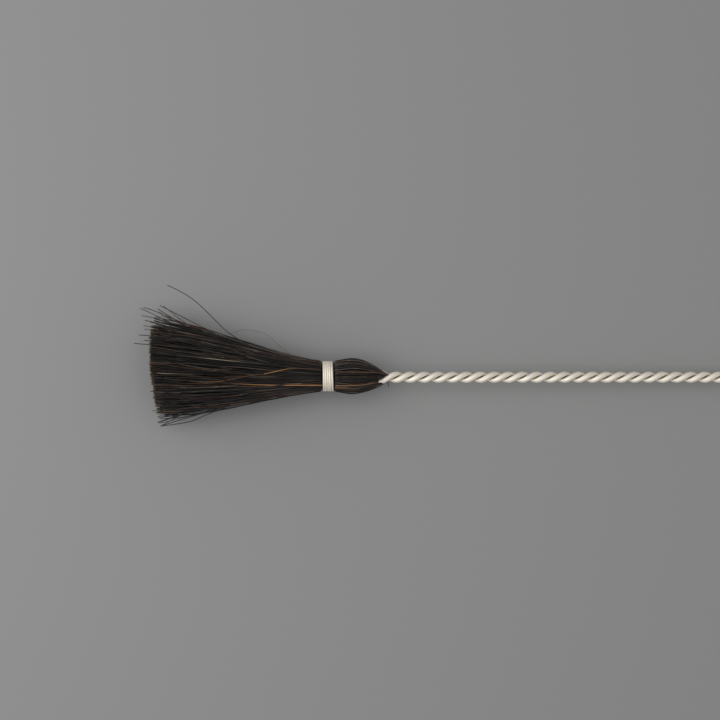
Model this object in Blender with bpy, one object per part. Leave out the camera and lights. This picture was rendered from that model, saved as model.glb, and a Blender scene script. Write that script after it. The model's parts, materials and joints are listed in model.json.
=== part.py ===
"""A horsehair brush on a twisted wire handle, lying on a table.

One wire is bent double: its middle is an eye, and its two legs are twisted into the handle. A bundle of
hair passes through the eye and is folded back on itself, and a thin wire lashes the fold together. The
hair opens into a flat-cut fan, which rests on the table at one end while the tip of the handle rests at
the other.

Brush frame: X runs along the handle's axis towards its tip, with zero where the legs leave the eye, Y is
across the flat of the eye, and Z is up. An empty tilts that frame so that the brush lies on the table,
which is the world's z = 0. The world's origin is the middle of the face that the fan is pressed flat on.
"""

import math

import bmesh
import bpy

MM = 0.001

# Handle wire.
WIRE = 1.15 * MM  # thickness of the wire
STRAND_GAP = 0.10 * MM  # between the two legs where they lie side by side
TWIST_PITCH = 6.0 * MM
HANDLE_TURNS = 31.75  # a quarter turn short of whole, so that one leg lies underneath at the tip
TIP = 0.6 * MM  # length of the cut tips, which run straight
EYE_HALF_WIDTH = 2.2 * MM  # to the middle of the wire
EYE_ARC_X = -4.2 * MM  # centre of the round end of the eye
EYE_NECK_X = 1.5 * MM  # where the legs first cross
STEPS_PER_TURN = 8
EYE_STEPS = 8  # points on the tapered side of the eye, and on its round end

# Binding wire.
BIND_WIRE = 0.42 * MM
BIND_TURNS = 5
BIND_PITCH = 0.46 * MM
BIND_MIDDLE_X = -11.45 * MM
BIND_CLEARANCE = 0.08 * MM
BIND_STEPS_PER_TURN = 16

# Hair.
HAIR_LENGTH = 49.4 * MM  # from the start of the legs to the cut end
CUT_STEP = 0.9 * MM  # how much shorter the hair is cut on the -Y side
WAIST_RADIUS = 2.8 * MM  # of the bundle under the binding
BULB_HALF_WIDTH = 4.2 * MM  # of the fold, over the eye
BULB_HALF_DEPTH = 3.3 * MM
COLLAR_HALF_WIDTH = 3.4 * MM  # just past the binding, where the hair swells again
FAN_HALF_WIDTH = 11.0 * MM  # at the cut end
FAN_DEPTH_RATIO = 0.74  # the fan's thickness over its width
FAN_CURVE = 1.15  # the fan opens a little faster towards its end
FAN_LEAN = 0.052  # sideways drift of the fan for each unit of length
LEAN_START_X = -4.0 * MM
FAN_AXIS_HEIGHT = 6.4 * MM  # of the handle's axis above the table at the cut end
REST_SETBACK = 4.0 * MM  # from the cut end to the middle of the face that lies on the table
FOLD_FAR_X = 0.0 * MM  # where the outermost hairs pass down through the eye
HAIR_CLEARANCE = 0.12 * MM  # between the hair and the wire of the eye
CORE_HALF_WIDTH = 1.5 * MM  # of the innermost hairs, where they ride over the eye
COLUMNS = 3
LAYERS = 4
LOCK_SHARE = 0.94  # how much of its cell each lock fills; the rest is the gap to its neighbours
FOLD_STEPS = 8  # rings in each quarter of the fold

# Worked out from the sizes above.
STRAND_RADIUS = (WIRE + STRAND_GAP) / 2
HANDLE_LENGTH = HANDLE_TURNS * TWIST_PITCH
HANDLE_RADIUS = STRAND_RADIUS + WIRE / 2
TIP_X = HANDLE_LENGTH + TIP
BIND_RADIUS = WAIST_RADIUS + BIND_CLEARANCE + BIND_WIRE / 2
BIND_HALF_LENGTH = (BIND_TURNS * BIND_PITCH + BIND_WIRE) / 2
WAIST_HALF_LENGTH = BIND_HALF_LENGTH + 0.2 * MM
FOLD_X = EYE_ARC_X - EYE_HALF_WIDTH  # the folds turn round the far side of the eye
COLLAR_X = BIND_MIDDLE_X - WAIST_HALF_LENGTH - 0.6 * MM
OVER_EYE = WIRE / 2 + HAIR_CLEARANCE * 2
TILT = math.asin((FAN_AXIS_HEIGHT - HANDLE_RADIUS) / (TIP_X + HAIR_LENGTH))
AXIS_HEIGHT = TIP_X * math.sin(TILT) + HANDLE_RADIUS * math.cos(TILT)


def clear_scene():
    """Leaves nothing of what was open before."""
    for obj in list(bpy.data.objects):
        bpy.data.objects.remove(obj, do_unlink=True)


def smooth(t):
    """0 to 1 with level ends, as t goes from 0 to 1."""
    t = min(max(t, 0.0), 1.0)
    return t * t * (3 - 2 * t)


def mix(a, b, t):
    return a + (b - a) * t


def make_material(name, color, metallic, roughness):
    material = bpy.data.materials.new(name)
    material.use_nodes = True
    shader = material.node_tree.nodes["Principled BSDF"]
    shader.inputs["Base Color"].default_value = (*color, 1)
    shader.inputs["Metallic"].default_value = metallic
    shader.inputs["Roughness"].default_value = roughness
    return material


def wire_object(name, points, thickness, material, parent):
    """A round wire along points, cut square at both ends."""
    curve = bpy.data.curves.new(name, "CURVE")
    curve.dimensions = "3D"
    curve.bevel_depth = thickness / 2
    curve.bevel_resolution = 1
    curve.use_fill_caps = True
    spline = curve.splines.new("POLY")
    spline.points.add(len(points) - 1)
    for point, place in zip(spline.points, points):
        point.co = (*place, 1)
    curve.materials.append(material)
    wire = bpy.data.objects.new(name, curve)
    wire.parent = parent
    bpy.context.collection.objects.link(wire)
    return wire


# ---- Handle wire


def eye_half_width(x):
    """From the axis to the middle of the wire, on the tapered side of the eye and along the legs."""
    t = min(max((x - EYE_ARC_X) / (EYE_NECK_X - EYE_ARC_X), 0), 1)
    return mix(STRAND_RADIUS, EYE_HALF_WIDTH, (1 + math.cos(math.pi * t)) / 2)


def leg_point(x, side):
    """The middle of one leg: side -1 starts on the -Y side of the eye and passes over the other first."""
    turn = 2 * math.pi * min(max(x, 0), HANDLE_LENGTH) / TWIST_PITCH
    radius = eye_half_width(x)
    return (x, side * radius * math.cos(turn), -side * radius * math.sin(turn))


def leg_points(side):
    """One leg, from its cut tip to the round end of the eye."""
    twist_steps = round(HANDLE_TURNS * STEPS_PER_TURN)
    twisted = [HANDLE_LENGTH * (1 - i / twist_steps) for i in range(twist_steps + 1)]
    tapered = [EYE_ARC_X * i / EYE_STEPS for i in range(1, EYE_STEPS)]
    return [leg_point(x, side) for x in [TIP_X, *twisted, *tapered]]


def eye_end_points():
    """The round end of the eye, from its -Y side to its +Y side."""
    points = []
    for i in range(EYE_STEPS + 1):
        angle = math.pi * i / EYE_STEPS
        x = EYE_ARC_X - EYE_HALF_WIDTH * math.sin(angle)
        points.append((x, -EYE_HALF_WIDTH * math.cos(angle), 0))
    return points


def handle_wire(material, parent):
    points = leg_points(-1) + eye_end_points() + leg_points(1)[::-1]
    return wire_object("handle_wire", points, WIRE, material, parent)


# ---- Hair, as locks that follow one flow


def lean(x):
    """Sideways place of the bundle's middle."""
    return max(LEAN_START_X - x, 0) * FAN_LEAN


def bundle_half_width(x):
    if x <= COLLAR_X:
        t = (COLLAR_X - x) / (COLLAR_X + HAIR_LENGTH)
        return mix(COLLAR_HALF_WIDTH, FAN_HALF_WIDTH, t**FAN_CURVE)
    if x <= BIND_MIDDLE_X:
        t = (BIND_MIDDLE_X - WAIST_HALF_LENGTH - x) / (BIND_MIDDLE_X - WAIST_HALF_LENGTH - COLLAR_X)
        return mix(WAIST_RADIUS, COLLAR_HALF_WIDTH, smooth(t))
    waist_end = BIND_MIDDLE_X + WAIST_HALF_LENGTH
    return mix(WAIST_RADIUS, BULB_HALF_WIDTH, smooth((x - waist_end) / (FOLD_X - waist_end)))


def bundle_half_depth(x):
    half_width = bundle_half_width(x)
    if x <= COLLAR_X:
        t = (COLLAR_X - x) / (COLLAR_X + HAIR_LENGTH)
        return half_width * mix(1, FAN_DEPTH_RATIO, smooth(t * 1.6))
    if x <= BIND_MIDDLE_X:
        return half_width
    return half_width * mix(1, BULB_HALF_DEPTH / BULB_HALF_WIDTH, over_eye_share(x))


def over_eye_share(x):
    """0 under the binding, 1 where the hair rides over the eye."""
    waist_end = BIND_MIDDLE_X + WAIST_HALF_LENGTH
    return smooth((x - waist_end) / (FOLD_X - waist_end))


def leg_section(x, across, rank):
    """Y and Z of a hair in the upper half of the bundle.

    across runs from -1 to 1 over the width, and rank from 0 at the middle plane to 1 at the outside.
    """
    share = over_eye_share(x)
    core = mix(1, mix(CORE_HALF_WIDTH / BULB_HALF_WIDTH, 1, smooth(rank * 1.4)), share)
    y = lean(x) + bundle_half_width(x) * core * across * math.sqrt(1 - rank * rank / 2)
    lowest = OVER_EYE * share
    z = lowest + (bundle_half_depth(x) - lowest) * rank * math.sqrt(1 - across * across / 2)
    return y, z


def fold_x(rank):
    """Where hairs of this rank cross the eye's plane."""
    nearest = EYE_ARC_X - EYE_HALF_WIDTH + WIRE / 2 + HAIR_CLEARANCE * 2
    return mix(nearest, FOLD_FAR_X, rank)


def hole_half_width(x):
    """Half the room for hair inside the eye."""
    reach = max(EYE_ARC_X - x, 0)
    if reach > 0:
        inner = EYE_HALF_WIDTH - WIRE / 2
        return math.sqrt(inner * inner - reach * reach) - HAIR_CLEARANCE
    return eye_half_width(x) - WIRE / 2 - HAIR_CLEARANCE


def fold_section(angle, across, rank):
    """A point on the upper half of a fold; angle 0 is in the eye's plane and pi/2 is over its far side."""
    y_over, z_over = leg_section(FOLD_X, across, rank)
    crossing = fold_x(rank)
    x = FOLD_X + (crossing - FOLD_X) * math.cos(angle)
    z = z_over * math.sin(angle)
    full = min(z_over, WIRE * 2) - WIRE / 2
    y = mix(hole_half_width(crossing) * across, y_over, smooth((z - WIRE / 2) / full))
    return x, y, z


def cut_x(across):
    """The cut end of the fan, which steps back on the -Y side."""
    return -HAIR_LENGTH + CUT_STEP * smooth(-across * 1.6)


def leg_stations(across):
    """Places along a leg from the cut end to the fold."""
    waist_start = BIND_MIDDLE_X - WAIST_HALF_LENGTH
    waist_end = BIND_MIDDLE_X + WAIST_HALF_LENGTH
    fan = [mix(cut_x(across), COLLAR_X, t) for t in (0, 0.22, 0.44, 0.64, 0.82, 1)]
    return [*fan, waist_start, waist_end, mix(waist_end, FOLD_X, 0.5)]


def hair_path(across, rank):
    """One folded hair, from its upper cut end, through the eye, to its lower cut end."""
    upper = [(x, *leg_section(x, across, rank)) for x in leg_stations(across)]
    for i in range(FOLD_STEPS):
        upper.append(fold_section(math.pi / 2 * (1 - i / FOLD_STEPS), across, rank))
    middle = [fold_section(0, across, rank)]
    lower = [(x, y, -z) for x, y, z in reversed(upper)]
    return upper + middle + lower


def lock_outline(column, layer):
    """Corners and mid-sides of a lock's cell, as (across, rank), counter-clockwise seen from the cut end."""
    spare = (1 - LOCK_SHARE) / 2
    left, right = (2 * (column + share) / COLUMNS - 1 for share in (spare, 1 - spare))
    low, high = ((layer + share) / LAYERS for share in (spare, 1 - spare))
    middle = (left + right) / 2
    return [(left, low), (left, high), (middle, high), (right, high), (right, low), (middle, low)]


def hair_lock(name, column, layer, material, parent):
    """A closed skin over the folded hairs of one cell, pressed flat where it meets the table."""
    paths = [hair_path(across, rank) for across, rank in lock_outline(column, layer)]
    bm = bmesh.new()
    rings = [[bm.verts.new(point) for point in ring] for ring in zip(*paths)]
    for ring, following in zip(rings, rings[1:]):
        for i in range(len(ring)):
            j = (i + 1) % len(ring)
            bm.faces.new((ring[i], ring[j], following[j], following[i]))
    bm.faces.new(reversed(rings[0]))
    bm.faces.new(rings[-1])
    bmesh.ops.triangulate(bm, faces=bm.faces[:])
    press_flat(bm)
    bmesh.ops.recalc_face_normals(bm, faces=bm.faces[:])
    mesh = bpy.data.meshes.new(name)
    bm.to_mesh(mesh)
    bm.free()
    mesh.materials.append(material)
    lock = bpy.data.objects.new(name, mesh)
    lock.parent = parent
    bpy.context.collection.objects.link(lock)
    return lock


def press_flat(bm):
    """Cuts away what would reach below the table, and closes the cut with a flat face."""
    table_point = (0, 0, -AXIS_HEIGHT / math.cos(TILT))
    table_normal = (-math.sin(TILT), 0, math.cos(TILT))
    geometry = bm.verts[:] + bm.edges[:] + bm.faces[:]
    cut = bmesh.ops.bisect_plane(
        bm, geom=geometry, plane_co=table_point, plane_no=table_normal, clear_inner=True
    )
    rim = [part for part in cut["geom_cut"] if isinstance(part, bmesh.types.BMEdge)]
    if rim:
        bmesh.ops.triangle_fill(bm, edges=rim, use_beauty=True)


# ---- Binding wire


def binding_wire(material, parent):
    steps = BIND_TURNS * BIND_STEPS_PER_TURN
    points = []
    for i in range(steps + 1):
        angle = 2 * math.pi * i / BIND_STEPS_PER_TURN
        x = BIND_MIDDLE_X + BIND_PITCH * BIND_TURNS * (i / steps - 0.5)
        y = lean(BIND_MIDDLE_X) + BIND_RADIUS * math.cos(angle)
        points.append((x, y, BIND_RADIUS * math.sin(angle)))
    return wire_object("binding_wire", points, BIND_WIRE, material, parent)


def main():
    clear_scene()
    silver = make_material("silver_wire", (0.78, 0.74, 0.68), 1.0, 0.38)
    fine_silver = make_material("fine_silver_wire", (0.80, 0.76, 0.70), 1.0, 0.34)
    horsehair = make_material("dark_horsehair", (0.024, 0.020, 0.017), 0.0, 0.50)

    brush = bpy.data.objects.new("brush_axis", None)
    rest_x = REST_SETBACK - HAIR_LENGTH
    brush.location = (-rest_x * math.cos(TILT), -lean(rest_x), AXIS_HEIGHT)
    brush.rotation_euler = (0, TILT, 0)
    bpy.context.collection.objects.link(brush)

    handle_wire(silver, brush)
    binding_wire(fine_silver, brush)
    for layer in range(LAYERS):
        for column in range(COLUMNS):
            number = layer * COLUMNS + column + 1
            hair_lock(f"hair_lock_{number:02d}", column, layer, horsehair, brush)


main()
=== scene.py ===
"""Looks of the horsehair brush: single hairs, satin silver wire and plain soft studio light.

The brush lies on the ground: its fan of hair rests at one end and the tip of its handle at the other.
Brush frame: X runs along the handle's axis towards its tip, with zero where the legs leave the eye, Y is
across the flat of the eye, and Z is up, square to the handle. BRUSH takes that frame to the world's.
"""

import json
import math
import random

import bpy
from mathutils import Matrix, Vector, noise


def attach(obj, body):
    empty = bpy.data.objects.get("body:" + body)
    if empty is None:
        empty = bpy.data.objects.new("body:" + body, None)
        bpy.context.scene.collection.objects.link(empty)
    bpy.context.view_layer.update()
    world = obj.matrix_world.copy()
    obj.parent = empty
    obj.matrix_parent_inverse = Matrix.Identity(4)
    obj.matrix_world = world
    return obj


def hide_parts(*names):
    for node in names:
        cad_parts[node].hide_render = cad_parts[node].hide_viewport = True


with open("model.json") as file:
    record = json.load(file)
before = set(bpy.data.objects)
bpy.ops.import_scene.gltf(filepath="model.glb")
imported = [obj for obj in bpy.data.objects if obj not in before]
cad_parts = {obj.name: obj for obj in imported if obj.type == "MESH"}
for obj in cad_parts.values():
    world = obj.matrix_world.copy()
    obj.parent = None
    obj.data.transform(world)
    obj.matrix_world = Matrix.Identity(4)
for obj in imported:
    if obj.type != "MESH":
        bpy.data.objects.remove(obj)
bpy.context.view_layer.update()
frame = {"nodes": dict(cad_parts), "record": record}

MM = 0.001
HAND_SEED = 7

# Handle wire.
WIRE = 1.2 * MM
STRAND_RADIUS = WIRE / 2  # the twisted legs touch
TWIST_PITCH = 6.0 * MM
HANDLE_TURNS = 31.75
WIRE_STEPS = 20  # points in each turn of the handle
TIP = 0.6 * MM  # length of the cut tips, which run straight
CAD_STRAND_RADIUS = 0.625 * MM  # the CAD keeps its legs a little apart
EYE_HALF_WIDTH = 2.2 * MM  # to the middle of the wire
EYE_ARC_X = -4.2 * MM  # centre of the round end of the eye
EYE_NECK_X = 1.5 * MM  # where the legs first cross
HANDLE_LENGTH = HANDLE_TURNS * TWIST_PITCH
TIP_X = HANDLE_LENGTH + TIP
RUBBED_PATCH = 4.0 * MM  # size of the patches that hands rub smoother
LINE_STRETCH = 16  # a drawing line is this many times as long as it is wide

# Binding wire.
BIND_WIRE = 0.45 * MM
BIND_TURNS = 5
BIND_PITCH = 0.452 * MM
BIND_MIDDLE_X = -11.58 * MM
BIND_STEPS = 48  # points in each turn of the binding
TUCK_DEPTH = 0.5 * MM  # how far the ends of the wire go into the hair

# Hair. Each lock of the CAD is filled with single folded hairs.
HAIR = 0.15 * MM  # thickness of a hair
HAIR_LENGTH = 49.4 * MM  # from the start of the legs to the cut end
CUT_STEP = 0.9 * MM  # how much shorter the hair is cut on the -Y side
WAIST_RADIUS = 2.8 * MM  # inside the binding
WAIST_HALF_LENGTH = 1.25 * MM
COLLAR_HALF_WIDTH = 3.2 * MM  # of the bundle just past the binding
COLLAR_LENGTH = 0.45 * MM  # from the binding to there
BULB_HALF_WIDTH = 3.8 * MM  # of the fold, over the eye
BULB_HALF_DEPTH = 3.3 * MM
BULB_TIP_X = 1.6 * MM  # where the fold's outline closes, between the legs
BULB_SHIFT = 0.2 * MM  # how far the fold lies to the side
FAN_SHIFT = 1.9 * MM  # and how much further the cut end does
FAN_HALF_WIDTH = 9.8 * MM  # of the guides at the cut end; the hairs spread a little wider
FAN_DEPTH_RATIO = 0.72  # the fan's thickness over its width
CORE_HALF_WIDTH = 1.5 * MM  # of the innermost hairs, where they ride over the eye
FOLD_STEPS = 10  # guide points in each quarter of the fold
FAN_STATIONS = 18  # guide points from the cut to the collar
BULB_STATIONS = 5  # steps from the binding to the fold
BLUNT_END = 0.25 * MM  # how far the painted highlight of the cut end reaches along the hair
LOOSE_FREE = 0.12  # how freely a loose hair waves, as a share of the others
LAID_CLEAR = 0.4 * MM  # height of the laid hairs above the guides' outline
LAID_BOUND = -0.12 * MM  # the same, under the binding
BOUND_HALF_LENGTH = 1.9 * MM  # of the stretch where the binding presses them down
# Where the outermost hairs of the upper half dive between the legs: (across, x, y in millimetres).
FOLD_EDGE = [
    (-1.0, -0.8, -1.6),
    (-0.6, -0.75, -0.9),
    (-0.35, -0.4, -0.25),
    (0.4, 1.2, 0.5),
    (1.0, 1.35, 0.45),
]
UNDER_SPREAD = 0.35 * MM  # how much wider the lower half closes
COLUMNS = 3
LAYERS = 4
GUIDES_ACROSS = 5  # in each lock
GUIDES_DEEP = 3
HAIRS_PER_GUIDE = 4
ROOM_SIDE = 1 / (COLUMNS * GUIDES_ACROSS)  # how far a hair may lie from its guide, as a share of the width
ROOM_OUT = 0.6 / (LAYERS * GUIDES_DEEP)
FOLD_X = EYE_ARC_X - EYE_HALF_WIDTH
WAIST_END = BIND_MIDDLE_X + WAIST_HALF_LENGTH
COLLAR_X = BIND_MIDDLE_X - WAIST_HALF_LENGTH - COLLAR_LENGTH
OVER_EYE = WIRE / 2 + 0.2 * MM  # height of the lowest hairs over the eye

# Hairs that stand out, in the brush frame in millimetres: (x, y, tone) on top of the bundle, and
# (x, y, z, tone) in the open.
GINGER_ROUTES = [
    [(1.0, 0.6, 0.2), (-1.2, 0.96, 0.4), (-4.8, 1.1, 0.45), (-10.2, 1.15, 0.35)],
    [(-12.4, 1.6, 0.25), (-16, 1.85, 0.2), (-19.6, 1.83, 0.5), (-22, 1.4, 0.85), (-25.2, 0.68, 0.7)],
    [(-25.6, 0.62, 0.2), (-28.4, 0.3, 0.3), (-31, -0.2, 0.4), (-33.2, -0.7, 0.5)],
    [(-33.6, -0.75, 0.5), (-36.2, -0.95, 0.5), (-40.6, -1.3, 0.2), (-43, -1.4, 0)],
    [
        (-0.9, -1.1, 0.4),
        (-5.0, -1.7, 0.6),
        (-10.2, -1.8, 0.75),
        (-14.4, -1.68, 1.0),
        (-23.0, -1.68, 0.9),
        (-29.2, -1.45, 0.6),
        (-33.0, -1.15, 0.1),
    ],
    [(-10.2, -2.2, 0.5), (-8.5, -2.3, 0.6), (-5.6, -2.35, 0.2)],
]
PALE_ROUTES = [
    [(-49.2, 1.05, 1.0), (-46.8, 0.85, 0.8), (-43.0, 0.75, 0.45), (-40.0, 0.7, 0.2)],
    [
        (-49.0, 5.6, 0.2),
        (-43.7, 4.75, 0.3),
        (-38.9, 4.2, 0.5),
        (-36.3, 3.93, 0.85),
        (-33.2, 3.58, 0.85),
        (-27.5, 3.0, 0.6),
        (-22.2, 2.5, 0.3),
    ],
    [(-38.5, 7.7, 0.3), (-34.9, 6.6, 0.5), (-31.6, 5.8, 0.3), (-28.7, 4.4, 0.5), (-23.9, 3.0, 0.2)],
]
FINE_ROUTES = [
    [
        (-18.0, 3.6, 0.5, 0.5),
        (-21.4, 6.3, 2.0, 0.5),
        (-23.6, 8.3, 3.0, 0.5),
        (-25.7, 9.5, 3.0, 0.5),
        (-29.2, 10.1, 3.0, 0.5),
        (-32.4, 9.3, 3.0, 0.5),
    ],
]
STRAY_ROUTES = [
    [
        (-24.0, 4.6, 1.0, 0.3),
        (-29.2, 7.3, 2.5, 0.3),
        (-33.1, 9.8, 3.5, 0.3),
        (-37.9, 14.5, 4.5, 0.3),
        (-40.3, 16.6, 5.0, 0.3),
        (-42.9, 18.2, 5.0, 0.3),
        (-45.6, 19.5, 5.0, 0.3),
    ],
    [
        (-24.0, -3.9, -1.0, 0.3),
        (-31.9, -6.0, -2.0, 0.3),
        (-37.6, -8.1, -3.0, 0.3),
        (-40.6, -9.4, -3.5, 0.3),
        (-43.7, -10.0, -4.0, 0.3),
        (-47.2, -10.5, -5.0, 0.3),
    ],
    [(0.8, -0.8, -0.5, 0.5), (1.25, -1.2, -0.5, 0.5), (1.39, -1.5, -0.6, 0.5), (1.39, -2.1, -0.7, 0.5)],
]
# Tips of the hairs that the cut has left standing at the corners of the fan: (x, y).
LOOSE_TIPS = [
    (-47.4, 15.3),
    (-46.6, 15.2),
    (-47.9, 14.6),
    (-47.6, 14.0),
    (-47.0, 13.2),
    (-50.8, 14.8),
    (-51.7, 14.7),
    (-51.4, 13.1),
    (-49.2, 13.6),
    (-48.6, 12.7),
    (-48.0, 12.0),
    (-50.6, 12.1),
    (-49.4, 11.6),
    (-50.9, 11.0),
    (-50.8, 10.2),
    (-51.7, 9.0),
    (-50.8, 7.9),
    (-52.9, 7.2),
    (-48.9, -7.1),
    (-48.3, -7.6),
    (-47.9, -8.4),
    (-47.7, -8.7),
    (-47.9, -9.7),
    (-47.7, -9.5),
    (-47.5, -9.8),
    (-47.3, -9.5),
    (-47.3, -10.5),
    (-46.9, -10.3),
]

# Studio.
GROUND_REACH = 1.5  # metres from the middle to each side
AIR_LIGHT = 0.46  # even light from all round

# Camera: straight down, square frame.
FRAME_WIDTH = 153.6 * MM  # of the ground that the view covers
CAMERA_HEIGHT = 800 * MM
FRAME_MIDDLE = (-4.7 * MM, 3.67 * MM)  # of the view, in the brush frame


# ---- Frame


def brush_matrix():
    """From the brush frame to the world, read from the mount at the handle's tip."""
    mount = next(m for m in frame["record"]["mounts"] if m["name"] == "handle_tip")
    along = Vector(mount["axis"]).normalized()
    across = Vector((0, 1, 0))
    up = along.cross(across)
    origin = Vector(mount["pos_m"]) - along * TIP_X + up * CAD_STRAND_RADIUS
    turned = Matrix((along, across, up)).transposed().to_4x4()
    return Matrix.Translation(origin) @ turned


BRUSH = brush_matrix()


def smooth(t):
    t = min(max(t, 0.0), 1.0)
    return t * t * (3 - 2 * t)


def mix(a, b, t):
    return a + (b - a) * t


# ---- Nodes


def add(tree, kind, inputs=None, **settings):
    """Adds a node. Each input, by name or number, takes a value, an output, or a node's first output."""
    node = tree.nodes.new(kind)
    for key, value in settings.items():
        setattr(node, key, value)
    for key, value in (inputs or {}).items():
        source = value.outputs[0] if isinstance(value, bpy.types.Node) else value
        if isinstance(source, bpy.types.NodeSocket):
            tree.links.new(source, node.inputs[key])
        else:
            node.inputs[key].default_value = source
    return node


def hex_color(text):
    """A linear colour from an sRGB hex value."""
    parts = [int(text[i : i + 2], 16) / 255 for i in (1, 3, 5)]
    return (*[p / 12.92 if p <= 0.04045 else ((p + 0.055) / 1.055) ** 2.4 for p in parts], 1)


def new_material(name):
    """An empty material and its tree."""
    material = bpy.data.materials.new(name)
    material.use_nodes = True
    material.node_tree.nodes.clear()
    return material, material.node_tree


def drawn_silver(name, line):
    """Sterling silver wire, drawn through dies, annealed and never polished.

    It shows a warm white with a wide soft sheen, faint lines along its length, patches that hands have
    rubbed a little smoother, and, in the crevices between legs and turns, a brown darkening that is partly
    tarnish and partly painted shade. line is the drawing lines' width.
    """
    material, tree = new_material(name)
    section = add(tree, "ShaderNodeAttribute", attribute_name="section")
    along = add(tree, "ShaderNodeAttribute", attribute_name="along")
    pulled = add(
        tree, "ShaderNodeMath", {0: along.outputs["Fac"], 1: 1 / LINE_STRETCH}, operation="MULTIPLY"
    )
    place = add(tree, "ShaderNodeCombineXYZ", {"Z": pulled})
    place = add(tree, "ShaderNodeVectorMath", {0: section.outputs["Vector"], 1: place}, operation="ADD")
    lines = add(tree, "ShaderNodeTexNoise", {"Vector": place, "Scale": 1 / line, "Detail": 3.0})
    where = add(tree, "ShaderNodeTexCoord")
    rubbed = add(
        tree,
        "ShaderNodeTexNoise",
        {"Vector": where.outputs["Object"], "Scale": 1 / RUBBED_PATCH, "Detail": 4.0},
    )
    # The crevices between legs and between turns darken to brown: partly tarnish, partly painted shade.
    tarnish_and_shade = add(tree, "ShaderNodeAttribute", attribute_name="tarnish_and_shade")
    color = add(
        tree,
        "ShaderNodeMix",
        {"Factor": tarnish_and_shade.outputs["Fac"], 6: hex_color("#FBF5EA"), 7: hex_color("#54442F")},
        data_type="RGBA",
    )
    rough = add(
        tree,
        "ShaderNodeMapRange",
        {"Value": rubbed, "From Min": 0.3, "From Max": 0.7, "To Min": 0.64, "To Max": 0.78},
    )
    bump = add(tree, "ShaderNodeBump", {"Height": lines, "Strength": 0.5, "Distance": 0.01 * MM})
    shader = add(
        tree,
        "ShaderNodeBsdfPrincipled",
        {"Base Color": color.outputs[2], "Roughness": rough, "Metallic": 1.0, "Normal": bump},
    )
    add(tree, "ShaderNodeOutputMaterial", {"Surface": shader})
    return material


def horsehair(name, tones):
    """Natural horsehair, washed and left undyed.

    Every hair has its own tone, which changes a little along it, and a soft sheen from its scaly skin.
    The cut ends get a painted highlight: a pale tan where they catch the light.
    """
    material, tree = new_material(name)
    tone = add(tree, "ShaderNodeAttribute", attribute_name="tone")
    ramp = add(tree, "ShaderNodeValToRGB", {"Fac": tone.outputs["Fac"]})
    stops = ramp.color_ramp.elements
    stops[0].color = hex_color(tones[0][1])
    stops[1].color = hex_color(tones[-1][1])
    for place, middle in tones[1:-1]:
        stops.new(place).color = hex_color(middle)
    # Painted highlight: the cut ends are mixed towards pale tan, where they catch the light.
    cut_end_highlight = add(tree, "ShaderNodeAttribute", attribute_name="cut_end_highlight")
    color = add(
        tree,
        "ShaderNodeMix",
        {"Factor": cut_end_highlight.outputs["Fac"], 6: ramp, 7: hex_color("#7C674A")},
        data_type="RGBA",
    )
    shader = add(
        tree,
        "ShaderNodeBsdfPrincipled",
        {"Base Color": color.outputs[2], "Roughness": 0.4, "IOR": 1.55},
    )
    add(tree, "ShaderNodeOutputMaterial", {"Surface": shader})
    return material


def painted_board():
    """Board rolled with matt grey paint: an even tone with no shine."""
    material, tree = new_material("matt_painted_board")
    shader = add(
        tree, "ShaderNodeBsdfPrincipled", {"Base Color": hex_color("#929292"), "Roughness": 0.9}
    )
    add(tree, "ShaderNodeOutputMaterial", {"Surface": shader})
    return material


# ---- Geometry Nodes


def new_tree(name, inputs):
    """A Geometry Nodes tree with a geometry input, the given inputs and a geometry output."""
    tree = bpy.data.node_groups.new(name, "GeometryNodeTree")
    tree.interface.new_socket("Geometry", in_out="INPUT", socket_type="NodeSocketGeometry")
    for title, kind in inputs:
        tree.interface.new_socket(title, in_out="INPUT", socket_type=kind)
    tree.interface.new_socket("Geometry", in_out="OUTPUT", socket_type="NodeSocketGeometry")
    return tree, add(tree, "NodeGroupInput").outputs


def wire_tree():
    """A round wire along the host's edges, with its section and length kept for the material."""
    tree, given = new_tree(
        "round_wire",
        [
            ("Thickness", "NodeSocketFloat"),
            ("Sides", "NodeSocketInt"),
            ("Material", "NodeSocketMaterial"),
        ],
    )
    curve = add(tree, "GeometryNodeMeshToCurve", {"Mesh": given["Geometry"]})
    length = add(tree, "GeometryNodeSplineParameter")
    curve = add(
        tree,
        "GeometryNodeStoreNamedAttribute",
        {"Geometry": curve, "Name": "along", "Value": length.outputs["Length"]},
        domain="POINT",
    )
    radius = add(tree, "ShaderNodeMath", {0: given["Thickness"], 1: 0.5}, operation="MULTIPLY")
    circle = add(
        tree, "GeometryNodeCurvePrimitiveCircle", {"Resolution": given["Sides"], "Radius": radius}
    )
    section = add(
        tree,
        "GeometryNodeStoreNamedAttribute",
        {"Geometry": circle, "Name": "section", "Value": add(tree, "GeometryNodeInputPosition")},
        domain="POINT",
        data_type="FLOAT_VECTOR",
    )
    swept = add(
        tree,
        "GeometryNodeCurveToMesh",
        {"Curve": curve, "Profile Curve": section, "Fill Caps": True},
    )
    whole = add(tree, "GeometryNodeRealizeInstances", {"Geometry": swept})
    coated = add(
        tree, "GeometryNodeSetMaterial", {"Geometry": whole, "Material": given["Material"]}
    )
    add(tree, "NodeGroupOutput", {0: coated})
    return tree


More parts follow.
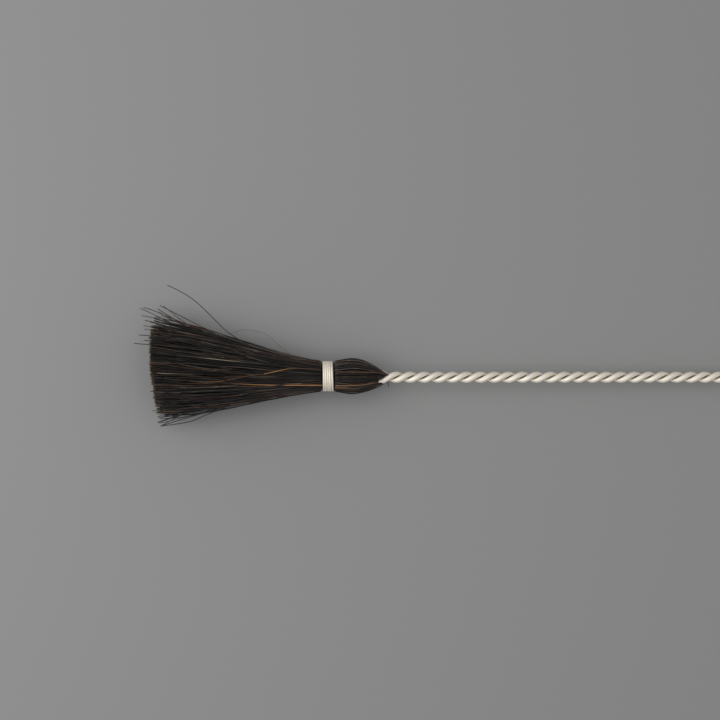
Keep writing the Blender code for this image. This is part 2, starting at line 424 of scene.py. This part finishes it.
def hair_tree():
    """Single hairs round each guide of a lock.

    The guides carry room_side and room_out, how far a hair may lie from its guide, and free, which
    grows from 0 at the binding to 1 at the cut end.
    """
    tree, given = new_tree(
        "single_hairs",
        [
            ("Hairs per guide", "NodeSocketInt"),
            ("Thickness", "NodeSocketFloat"),
            ("Drift", "NodeSocketFloat"),
            ("Wave", "NodeSocketFloat"),
            ("Wave length", "NodeSocketFloat"),
            ("Crimp", "NodeSocketFloat"),
            ("Crimp length", "NodeSocketFloat"),
            ("Patches", "NodeSocketFloat"),
            ("Patch length", "NodeSocketFloat"),
            ("Uneven cut", "NodeSocketFloat"),
            ("Seed", "NodeSocketInt"),
            ("Material", "NodeSocketMaterial"),
        ],
    )
    guides = add(tree, "GeometryNodeMeshToCurve", {"Mesh": given["Geometry"]})
    hairs = add(
        tree,
        "GeometryNodeDuplicateElements",
        {"Geometry": guides, "Amount": given["Hairs per guide"]},
        domain="SPLINE",
    )
    position = add(tree, "GeometryNodeInputPosition")
    carried = {}
    for title in ("room_side", "room_out", "free"):
        carried[title] = add(tree, "GeometryNodeInputNamedAttribute", {"Name": title})

    # What is drawn by lot, once for each hair.
    drawn = {}
    for number, (title, lowest) in enumerate([("place", -1), ("heading", -1), ("habit", 0), ("trim", 0)]):
        seed = add(tree, "ShaderNodeMath", {0: given["Seed"], 1: number}, operation="ADD")
        lot = add(
            tree,
            "FunctionNodeRandomValue",
            {"Min": (lowest, lowest, lowest), "Max": (1, 1, 1), "Seed": seed},
            data_type="FLOAT_VECTOR",
        )
        drawn[title] = add(
            tree, "GeometryNodeFieldOnDomain", {0: lot}, domain="CURVE", data_type="FLOAT_VECTOR"
        )
    straying, own, own_tone = add(tree, "ShaderNodeSeparateXYZ", {0: drawn["habit"]}).outputs
    start_lot, end_lot, thick_lot = add(tree, "ShaderNodeSeparateXYZ", {0: drawn["trim"]}).outputs

    # Where the hair lies round its guide: to the side, and outwards.
    place = add(tree, "ShaderNodeSeparateXYZ", {0: drawn["place"]})
    side = add(tree, "ShaderNodeMath", {0: place.outputs[0], 1: carried["room_side"]}, operation="MULTIPLY")
    out = add(tree, "ShaderNodeMath", {0: place.outputs[1], 1: carried["room_out"]}, operation="MULTIPLY")
    tangent = add(tree, "GeometryNodeInputTangent")
    outwards = add(tree, "ShaderNodeVectorMath", {0: tangent, 1: (0, 1, 0)}, operation="CROSS_PRODUCT")
    moves = [
        add(tree, "ShaderNodeCombineXYZ", {"Y": side}),
        add(tree, "ShaderNodeVectorMath", {0: outwards, "Scale": out}, operation="SCALE"),
    ]
    # Each hair drifts its own way towards its free end, a few of them far.
    far = add(tree, "ShaderNodeMath", {0: straying, 1: 4.0}, operation="POWER")
    far = add(tree, "ShaderNodeMath", {0: far, 1: 2.2, 2: 0.5}, operation="MULTIPLY_ADD")
    bent = add(tree, "ShaderNodeMath", {0: carried["free"], 1: 1.6}, operation="POWER")
    drift = add(tree, "ShaderNodeMath", {0: far, 1: bent}, operation="MULTIPLY")
    drift = add(tree, "ShaderNodeMath", {0: drift, 1: given["Drift"]}, operation="MULTIPLY")
    moves.append(
        add(tree, "ShaderNodeVectorMath", {0: drawn["heading"], "Scale": drift}, operation="SCALE")
    )
    # It waves on the way, wide and fine, and its tone comes in patches.
    apart = add(tree, "ShaderNodeMath", {0: own, 1: 50.0}, operation="MULTIPLY")
    noises = {}
    for title in ("Wave", "Crimp", "Patch"):
        scale = add(tree, "ShaderNodeMath", {0: 1.0, 1: given[title + " length"]}, operation="DIVIDE")
        noises[title] = add(
            tree,
            "ShaderNodeTexNoise",
            {"Vector": position, "W": apart, "Scale": scale, "Detail": 0.0},
            noise_dimensions="4D",
        )
    for title in ("Wave", "Crimp"):
        centred = add(
            tree,
            "ShaderNodeVectorMath",
            {0: noises[title].outputs["Color"], 1: (0.5, 0.5, 0.5)},
            operation="SUBTRACT",
        )
        reach = add(tree, "ShaderNodeMath", {0: carried["free"], 1: given[title]}, operation="MULTIPLY")
        moves.append(add(tree, "ShaderNodeVectorMath", {0: centred, "Scale": reach}, operation="SCALE"))
    offset = moves[0]
    for move in moves[1:]:
        offset = add(tree, "ShaderNodeVectorMath", {0: offset, 1: move}, operation="ADD")
    # The cut stays even: hairs move sideways and up, and hardly along their length.
    offset = add(tree, "ShaderNodeVectorMath", {0: offset, 1: (0.12, 1.0, 1.6)}, operation="MULTIPLY")
    moved = add(tree, "ShaderNodeVectorMath", {0: position, 1: offset}, operation="ADD")
    # Nothing sinks into the ground.
    lowest = add(tree, "ShaderNodeMath", {0: given["Thickness"], 1: 0.7}, operation="MULTIPLY")
    lowest = add(tree, "ShaderNodeCombineXYZ", {"X": -1.0, "Y": -1.0, "Z": lowest})
    landed = add(tree, "ShaderNodeVectorMath", {0: moved, 1: lowest}, operation="MAXIMUM")
    placed = add(tree, "GeometryNodeSetPosition", {"Geometry": hairs, "Position": landed})

    patch = add(tree, "ShaderNodeMath", {0: noises["Patch"], 1: 0.5}, operation="SUBTRACT")
    tone = add(
        tree, "ShaderNodeMath", {0: patch, 1: given["Patches"], 2: own_tone}, operation="MULTIPLY_ADD"
    )
    toned = add(
        tree,
        "GeometryNodeStoreNamedAttribute",
        {"Geometry": placed, "Name": "tone", "Value": tone},
        domain="POINT",
    )
    start = add(tree, "ShaderNodeMath", {0: start_lot, 1: given["Uneven cut"]}, operation="MULTIPLY")
    end = add(tree, "ShaderNodeMath", {0: end_lot, 1: given["Uneven cut"]}, operation="MULTIPLY")
    end = add(tree, "ShaderNodeMath", {0: 1.0, 1: end}, operation="SUBTRACT")
    cut = add(tree, "GeometryNodeTrimCurve", {"Curve": toned, 2: start, 3: end}, mode="FACTOR")
    thick = add(tree, "ShaderNodeMath", {0: thick_lot, 1: 0.5, 2: 0.75}, operation="MULTIPLY_ADD")
    thick = add(tree, "ShaderNodeMath", {0: thick, 1: given["Thickness"]}, operation="MULTIPLY")
    profile = add(tree, "GeometryNodeCurvePrimitiveCircle", {"Resolution": 4, "Radius": 0.5})
    swept = add(
        tree,
        "GeometryNodeCurveToMesh",
        {"Curve": cut, "Profile Curve": profile, "Scale": thick, "Fill Caps": True},
    )
    whole = add(tree, "GeometryNodeRealizeInstances", {"Geometry": swept})
    coated = add(
        tree, "GeometryNodeSetMaterial", {"Geometry": whole, "Material": given["Material"]}
    )
    add(tree, "NodeGroupOutput", {0: coated})
    return tree


def grown(name, lines, tree, values, attributes=()):
    """The plain mesh that a tree makes from lines, each a list of world points.

    attributes holds (name, values for all points) to store on the host.
    """
    vertices, edges = [], []
    for line in lines:
        first = len(vertices)
        vertices += [tuple(p) for p in line]
        edges += [(first + i, first + i + 1) for i in range(len(line) - 1)]
    mesh = bpy.data.meshes.new(name + "_guides")
    mesh.from_pydata(vertices, edges, [])
    for title, numbers in attributes:
        mesh.attributes.new(title, "FLOAT", "POINT").data.foreach_set("value", numbers)
    host = bpy.data.objects.new(name + "_guides", mesh)
    bpy.context.collection.objects.link(host)
    modifier = host.modifiers.new("grow", "NODES")
    modifier.node_group = tree
    for item in tree.interface.items_tree:
        if item.in_out == "INPUT" and item.name in values:
            modifier[item.identifier] = values[item.name]
    bpy.context.view_layer.update()
    graph = bpy.context.evaluated_depsgraph_get()
    made = bpy.data.meshes.new_from_object(host.evaluated_get(graph))
    made.name = name
    made.shade_smooth()
    piece = bpy.data.objects.new(name, made)
    bpy.context.collection.objects.link(piece)
    bpy.data.objects.remove(host, do_unlink=True)
    return piece


# ---- Handle wire


def eye_half_width(x):
    t = min(max((x - EYE_ARC_X) / (EYE_NECK_X - EYE_ARC_X), 0), 1)
    return mix(STRAND_RADIUS, EYE_HALF_WIDTH, (1 + math.cos(math.pi * t)) / 2)


def leg_point(x, side):
    """The middle of one leg; the leg of side -1 passes over the other first."""
    turn = 2 * math.pi * min(max(x, 0), HANDLE_LENGTH) / TWIST_PITCH
    radius = eye_half_width(x)
    return Vector((x, side * radius * math.cos(turn), -side * radius * math.sin(turn)))


def handle_wire_points():
    steps = round(HANDLE_TURNS * WIRE_STEPS)
    twisted = [HANDLE_LENGTH * (1 - i / steps) for i in range(steps + 1)]
    tapered = [EYE_ARC_X * i / 14 for i in range(1, 14)]
    stations = [TIP_X, *twisted, *tapered]
    round_end = []
    for i in range(25):
        angle = math.pi * i / 24
        x = EYE_ARC_X - EYE_HALF_WIDTH * math.sin(angle)
        round_end.append(Vector((x, -EYE_HALF_WIDTH * math.cos(angle), 0)))
    first = [leg_point(x, -1) for x in stations]
    second = [leg_point(x, 1) for x in reversed(stations)]
    return [BRUSH @ p for p in first + round_end + second]


def between_legs(place):
    """How deep a point lies between the twisted legs, from 0 to 1."""
    depth = (0.62 * MM - math.hypot(place.y, place.z)) / (0.3 * MM)
    return smooth(depth) if place.x > 0 else 0


def between_turns(place):
    """How deep a point lies between two turns of the binding, from 0 to 1."""
    height = math.hypot(place.y - lean(BIND_MIDDLE_X), place.z) - WAIST_RADIUS
    # The steep ramp darkens the gaps between turns strongly: painted shade on top of the tarnish.
    return smooth(1.6 - 2.4 * height / BIND_WIRE)


def shelter(mesh, depth):
    """Stores how deep in a crevice each point is, for the brown darkening there: partly tarnish, partly
    painted shade.
    """
    to_brush = BRUSH.inverted()
    values = [depth(to_brush @ vertex.co) for vertex in mesh.vertices]
    mesh.attributes.new("tarnish_and_shade", "FLOAT", "POINT").data.foreach_set("value", values)


# ---- Binding wire


def binding_points():
    """Close turns of the thin wire, whose tails are tucked into the hair underneath."""
    steps = BIND_TURNS * BIND_STEPS
    radius = WAIST_RADIUS + BIND_WIRE / 2
    points = []
    for i in range(steps + 1):
        turns = i / BIND_STEPS
        angle = 2 * math.pi * turns - math.pi / 2
        tuck = max(smooth(1 - turns * 5), smooth(1 - (BIND_TURNS - turns) * 5))
        reach = radius - TUCK_DEPTH * tuck
        wobble = 0.06 * MM * noise.noise(Vector((turns * 1.3, 0, 3)))
        y = reach * math.cos(angle)
        z = reach * math.sin(angle)
        spread = BIND_PITCH * (turns - BIND_TURNS / 2) * (1 - 0.05 * y / radius)
        x = BIND_MIDDLE_X + spread + wobble
        points.append(BRUSH @ Vector((x, lean(BIND_MIDDLE_X) + y, z)))
    return points


# ---- Hair


def fan_share(x):
    """0 at the collar beside the binding, 1 at the cut end."""
    return min(max((COLLAR_X - x) / (COLLAR_X + HAIR_LENGTH), 0), 1)


def over_eye(x):
    """0 beside the binding, 1 above the round end of the eye."""
    return smooth((x - WAIST_END) / (FOLD_X - WAIST_END))


def lean(x):
    """How far the middle of the bundle lies to the side."""
    return BULB_SHIFT * smooth(-x / (5 * MM)) + FAN_SHIFT * fan_share(x) ** 1.5


def half_width(x):
    """Of the bundle: it touches the binding, bulges out of it, then fans out or covers the eye."""
    collar = smooth((abs(x - BIND_MIDDLE_X) - WAIST_HALF_LENGTH) / COLLAR_LENGTH)
    share = fan_share(x)
    fanned = (share + math.sin(math.pi / 2 * share) ** 1.5) / 2
    return (
        mix(WAIST_RADIUS - HAIR / 2, COLLAR_HALF_WIDTH, collar)
        + (FAN_HALF_WIDTH - COLLAR_HALF_WIDTH) * fanned
        + (BULB_HALF_WIDTH - COLLAR_HALF_WIDTH) * over_eye(x)
    )


def half_depth(x):
    flattened = mix(1, FAN_DEPTH_RATIO, smooth(fan_share(x) * 1.6))
    return half_width(x) * flattened * mix(1, BULB_HALF_DEPTH / BULB_HALF_WIDTH, over_eye(x))


def beside_eye(across):
    """1 for the hairs that run outside the legs, 0 for those that cross over them."""
    return smooth((abs(across) - 0.6) / 0.3)


def leg_section(x, across, rank):
    """Where a hair of the upper half lies: across from -1 to 1, rank from 0 inside to 1 on top."""
    share = over_eye(x)
    beside = beside_eye(across)
    wide = mix(1.1, 0.97, beside)
    core = mix(CORE_HALF_WIDTH / BULB_HALF_WIDTH, wide, max(smooth(rank * 1.6), beside))
    y = half_width(x) * mix(1, core, share) * across * math.sqrt(1 - rank * rank / 2)
    lowest = OVER_EYE * share * (1 - beside)
    z = lowest + (half_depth(x) - lowest) * rank * math.sqrt(1 - across * across / 2)
    return Vector((x, lean(x) + y, z))


def fold_end(across):
    """Where the outermost hairs of the upper half dive between the legs."""
    for (a0, x0, y0), (a1, x1, y1) in zip(FOLD_EDGE, FOLD_EDGE[1:]):
        if across <= a1:
            break
    t = min(max((across - a0) / (a1 - a0), 0), 1)
    return mix(x0, x1, t) * MM, mix(y0, y1, t) * MM


def clear_of_legs(point):
    """Lifts a place of the upper half onto the legs of the wire."""
    for side in (-1, 1):
        leg = leg_point(max(point.x, EYE_ARC_X), side)
        room = (STRAND_RADIUS + HAIR) ** 2 - (point.y - leg.y) ** 2
        if room > 0:
            point.z = max(point.z, leg.z + math.sqrt(room))
    return point


def fold_section(angle, across, rank, spread):
    """The turn of a hair round the eye, from a right angle above it to 0 between the legs."""
    over = leg_section(FOLD_X, across, rank)
    far_x, far_y = fold_end(across)
    far_y += spread * max(across, 0)
    nearest = FOLD_X + WIRE / 2 + 0.2 * MM
    outer = max(rank, beside_eye(across))
    x = FOLD_X + (mix(nearest, far_x, outer) - FOLD_X) * math.cos(angle)
    closing = math.cos(math.pi / 2 * (x - FOLD_X) / (far_x - FOLD_X)) ** 1.12
    return clear_of_legs(Vector((x, mix(far_y * outer, over.y, closing), over.z * math.sin(angle))))


def turned_under(point):
    """The same place on the lower half: half a turn round the handle's axis, as the wire has."""
    return Vector((point.x, 2 * lean(point.x) - point.y, -point.z))


class Hair:
    """A guide hair: its points and, for each, the room round it, how free it is and where it is cut."""

    def __init__(self):
        self.points = []
        self.numbers = {"room_side": [], "room_out": [], "free": [], "cut_end_highlight": []}

    def extend(self, leg, reverse=False, under=False):
        for point, *values in reversed(leg) if reverse else leg:
            self.points.append(BRUSH @ (turned_under(point) if under else point))
            for numbers, value in zip(self.numbers.values(), values):
                numbers.append(value)


def hair_leg(across, rank, end_across, end_rank, cut, spread):
    """Half of a folded hair, from its cut end at x = cut to its fold, as Hair.extend takes it."""
    reach = [WAIST_HALF_LENGTH + COLLAR_LENGTH * share for share in (1, 0.7, 0.4, 0)]
    waist = [BIND_MIDDLE_X - r for r in reach] + [BIND_MIDDLE_X + r for r in reversed(reach)]
    stations = [cut]
    stations += [mix(cut + BLUNT_END, COLLAR_X, i / FAN_STATIONS) for i in range(FAN_STATIONS)]
    stations += waist
    stations += [mix(waist[-1], FOLD_X, i / BULB_STATIONS) for i in range(1, BULB_STATIONS)]
    leg = []
    for x in stations:
        free = fan_share(x)
        place = leg_section(x, mix(across, end_across, free), mix(rank, end_rank, free))
        side = half_width(x) * ROOM_SIDE
        out = half_depth(x) * ROOM_OUT
        # The last value marks the cut end, which gets a painted highlight.
        leg.append((place, side, out, max(free, 0.04), float(x == cut)))
    for i in range(FOLD_STEPS):
        angle = math.pi / 2 * (1 - i / FOLD_STEPS)
        room = BULB_HALF_WIDTH * mix(0.35, 1, math.sin(angle))
        place = fold_section(angle, across, rank, spread)
        leg.append((place, room * ROOM_SIDE, room * ROOM_OUT, 0.06, 0.0))
    return leg


def folded_hair(across, rank, rng):
    """A whole hair: along the top, round the eye and back along the underside."""
    hair = Hair()
    for under in (False, True):
        own = -across if under else across
        end_across = own + rng.gauss(0, 0.08)
        end_rank = min(max(rank + rng.gauss(0, 0.12), -0.1), 1.05)
        lower_side = end_across if under else -end_across
        corner = smooth((abs(end_across) - 0.75) / 0.3) * (2.0 if lower_side > 0 else 6.0)
        cut = -HAIR_LENGTH + (rng.gauss(0.1, 0.1) + corner * rng.uniform(0.1, 1.0)) * MM
        cut += CUT_STEP * smooth(lower_side * 1.6)
        spread = UNDER_SPREAD if under else 0
        leg = hair_leg(own, rank, end_across, end_rank, cut, spread)
        hair.extend(leg, reverse=under, under=under)
    return hair


def loose_hair(rng, tip_x, tip_y):
    """A hair of the bundle's side that leaves it on the way to its tip."""
    tip = Vector((tip_x, tip_y, rng.uniform(-4.0, 3.0))) * MM
    side = (tip.y - lean(tip.x)) / half_width(tip.x)
    across = min(max(0.9 * side, -0.96), 0.96)
    rank = rng.uniform(0.1, 0.5)
    leave = tip.x + rng.uniform(9.0, 21.0) * MM
    bend = rng.uniform(1.2, 1.9)
    home = leg_section(tip.x, across, rank)
    leg = []
    for i in range(28):
        x = mix(tip.x, COLLAR_X - 1 * MM, i / 27)
        apart = min(max((leave - x) / (leave - tip.x), 0), 1) ** bend
        place = leg_section(x, across, rank) + (tip - home) * apart
        leg.append((place, 0, 0, fan_share(x) * LOOSE_FREE, 0.0))
    hair = Hair()
    hair.extend(leg)
    return hair


def grown_hair(name, hairs, per_guide, tree, material, seed):
    values = {
        "Hairs per guide": per_guide,
        "Thickness": HAIR,
        "Drift": 1.0 * MM,
        "Wave": 3.0 * MM,
        "Wave length": 20.0 * MM,
        "Crimp": 0.8 * MM,
        "Crimp length": 6.0 * MM,
        "Patches": 0.8,
        "Patch length": 5.0 * MM,
        "Uneven cut": 0.001,
        "Seed": seed,
        "Material": material,
    }
    attributes = [
        (title, [value for hair in hairs for value in hair.numbers[title]])
        for title in hairs[0].numbers
    ]
    return grown(name, [hair.points for hair in hairs], tree, values, attributes)


def lock_of_hair(number, tree, material):
    """The single hairs of one lock of the CAD."""
    layer, column = divmod(number - 1, COLUMNS)
    rng = random.Random(HAND_SEED * 100 + number)
    hairs = []
    for i in range(GUIDES_ACROSS):
        for j in range(GUIDES_DEEP):
            across = 2 * (column + (i + rng.uniform(0, 1)) / GUIDES_ACROSS) / COLUMNS - 1
            rank = (layer + (j + rng.uniform(0, 1)) / GUIDES_DEEP) / LAYERS
            hairs.append(folded_hair(across, rank, rng))
    return grown_hair(f"horsehair_{number:02d}", hairs, HAIRS_PER_GUIDE, tree, material, number)


# ---- Hairs that stand out


def top_of_hair(x, y):
    """Height of the hair's upper surface in the brush frame."""
    if x > FOLD_X:
        t = min((x - FOLD_X) / (BULB_TIP_X - FOLD_X), 1)
        wide = BULB_HALF_WIDTH * math.cos(math.pi / 2 * t**1.2) + 0.2 * MM
        high = BULB_HALF_DEPTH * math.sqrt(1 - t * t)
    else:
        wide = half_width(x)
        high = half_depth(x)
    side = min(abs(y - lean(x)) / wide, 1)
    return high * math.sqrt(1 - side * side)


def smoothed(points, steps=6):
    """A Catmull-Rom curve through the points."""
    padded = [2 * points[0] - points[1], *points, 2 * points[-1] - points[-2]]
    line = []
    for a, b, c, d in zip(padded, padded[1:], padded[2:], padded[3:]):
        for i in range(steps):
            t = i / steps
            bend = (3 * b - a - 3 * c + d) * t**3 + (2 * a - 5 * b + 4 * c - d) * t * t
            line.append((bend + (c - a) * t + 2 * b) / 2)
    line.append(points[-1])
    return line


def laid_hair(route):
    """A hair on top of the bundle through (x, y, tone), kept under the binding, and its tones."""
    line, tones = [], []
    for x, y, tone in smoothed([Vector(p) for p in route]):
        bound = smooth((BOUND_HALF_LENGTH - abs(x * MM - BIND_MIDDLE_X)) / (0.5 * MM))
        height = top_of_hair(x * MM, y * MM) + mix(LAID_CLEAR, LAID_BOUND, bound)
        place = BRUSH @ Vector((x * MM, y * MM, height))
        place.z = max(place.z, HAIR)
        line.append(place)
        tones.append(tone)
    return line, tones


def stray_hair(route):
    """A hair in the open through (x, y, z, tone), and its tones."""
    line, tones = [], []
    for x, y, z, tone in smoothed([Vector(p) for p in route]):
        place = BRUSH @ (Vector((x, y, z)) * MM)
        place.z = max(place.z, HAIR)
        line.append(place)
        tones.append(tone)
    return line, tones


def build_brush():
    silver = drawn_silver("drawn_sterling_silver", 0.12 * MM)
    fine_silver = drawn_silver("fine_drawn_sterling_silver", 0.08 * MM)
    dark_tones = [
        (0.0, "#050302"),
        (0.5, "#0F0B08"),
        (0.78, "#2C221B"),
        (0.88, "#51453A"),
        (0.95, "#6A5C4F"),
        (0.97, "#331C11"),
        (1.0, "#432616"),
    ]
    dark_hair = horsehair("dark_natural_horsehair", dark_tones)
    ginger_tones = [(0.0, "#1A110B"), (0.4, "#5A3A22"), (1.0, "#C08850")]
    ginger_hair = horsehair("ginger_natural_horsehair", ginger_tones)
    pale_tones = [(0.0, "#1A1510"), (0.5, "#655849"), (1.0, "#C6B6A0")]
    pale_hair = horsehair("pale_natural_horsehair", pale_tones)

    wires = wire_tree()
    handle = grown(
        "twisted_handle_wire",
        [handle_wire_points()],
        wires,
        {"Thickness": WIRE, "Sides": 20, "Material": silver},
    )
    # Paints tarnish and shade into the crevices between the legs.
    shelter(handle.data, between_legs)
    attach(handle, "root")
    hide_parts("handle_wire")

    binding = grown(
        "wound_binding_wire",
        [binding_points()],
        wires,
        {"Thickness": BIND_WIRE, "Sides": 12, "Material": fine_silver},
    )
    # Paints tarnish and shade into the gaps between the turns.
    shelter(binding.data, between_turns)
    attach(binding, "root")
    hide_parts("binding_wire")

    hairs = hair_tree()
    locks = sorted(name for name in frame["nodes"] if name.startswith("hair_lock_"))
    for number, node in enumerate(locks, 1):
        piece = lock_of_hair(number, hairs, dark_hair)
        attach(piece, "root")
        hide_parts(node)

    rng = random.Random(HAND_SEED)
    loose = [loose_hair(rng, x, y) for x, y in LOOSE_TIPS]
    extra = [grown_hair("loose_hairs", loose, 1, hairs, dark_hair, len(locks) + 1)]
    laid = [
        # name, routes, how it lies, material, thickness
        ("ginger_hairs", GINGER_ROUTES, laid_hair, ginger_hair, 0.17 * MM),
        ("pale_hairs", PALE_ROUTES, laid_hair, pale_hair, 0.13 * MM),
        ("fine_hairs", FINE_ROUTES, stray_hair, ginger_hair, 0.07 * MM),
        ("stray_hairs", STRAY_ROUTES, stray_hair, dark_hair, 0.16 * MM),
    ]
    for name, routes, lay, material, thickness in laid:
        lines, tones = zip(*[lay(route) for route in routes])
        tones = [tone for part in tones for tone in part]
        values = {"Thickness": thickness, "Sides": 6, "Material": material}
        extra.append(grown(name, lines, wires, values, [("tone", tones)]))
    for piece in extra:
        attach(piece, "root")


# ---- Studio


def studio():
    """A matt board, a wide scrim overhead, a soft light beyond the cut ends, and a camera."""
    target = BRUSH @ Vector((*FRAME_MIDDLE, 0))
    floor_mesh = bpy.data.meshes.new("ground")
    reach = GROUND_REACH
    floor_mesh.from_pydata(
        [(-reach, -reach, 0), (reach, -reach, 0), (reach, reach, 0), (-reach, reach, 0)],
        [],
        [(0, 1, 2, 3)],
    )
    floor = bpy.data.objects.new("ground", floor_mesh)
    floor_mesh.materials.append(painted_board())
    bpy.context.collection.objects.link(floor)

    lights = [
        # name, place from the middle of the view, width, height, radiance
        ("overhead_scrim", (0.0, 0.05, 1.20), 1.3, 1.3, 0.45),
        ("window_side", (-0.27, 0.03, 0.24), 0.32, 0.32, 2.0),
    ]
    for name, place, wide, high, radiance in lights:
        light = bpy.data.lights.new(name, "AREA")
        light.shape = "RECTANGLE"
        light.size = wide
        light.size_y = high
        light.energy = radiance * math.pi * wide * high
        lamp = bpy.data.objects.new(name, light)
        lamp.location = target + Vector(place)
        lamp.rotation_euler = (-Vector(place)).to_track_quat("-Z", "Y").to_euler()
        bpy.context.collection.objects.link(lamp)

    world = bpy.data.worlds.new("studio_air")
    world.use_nodes = True
    world.node_tree.nodes["Background"].inputs["Color"].default_value = (1, 1, 1, 1)
    world.node_tree.nodes["Background"].inputs["Strength"].default_value = AIR_LIGHT
    bpy.context.scene.world = world

    camera = bpy.data.cameras.new("camera")
    camera.sensor_width = 36
    camera.lens = camera.sensor_width * CAMERA_HEIGHT / FRAME_WIDTH
    camera.clip_start = 0.01
    eye = bpy.data.objects.new("camera", camera)
    eye.location = (target.x, target.y, target.z + CAMERA_HEIGHT)
    bpy.context.collection.objects.link(eye)
    bpy.context.scene.camera = eye
    bpy.context.scene.view_settings.view_transform = "Standard"


build_brush()
studio()
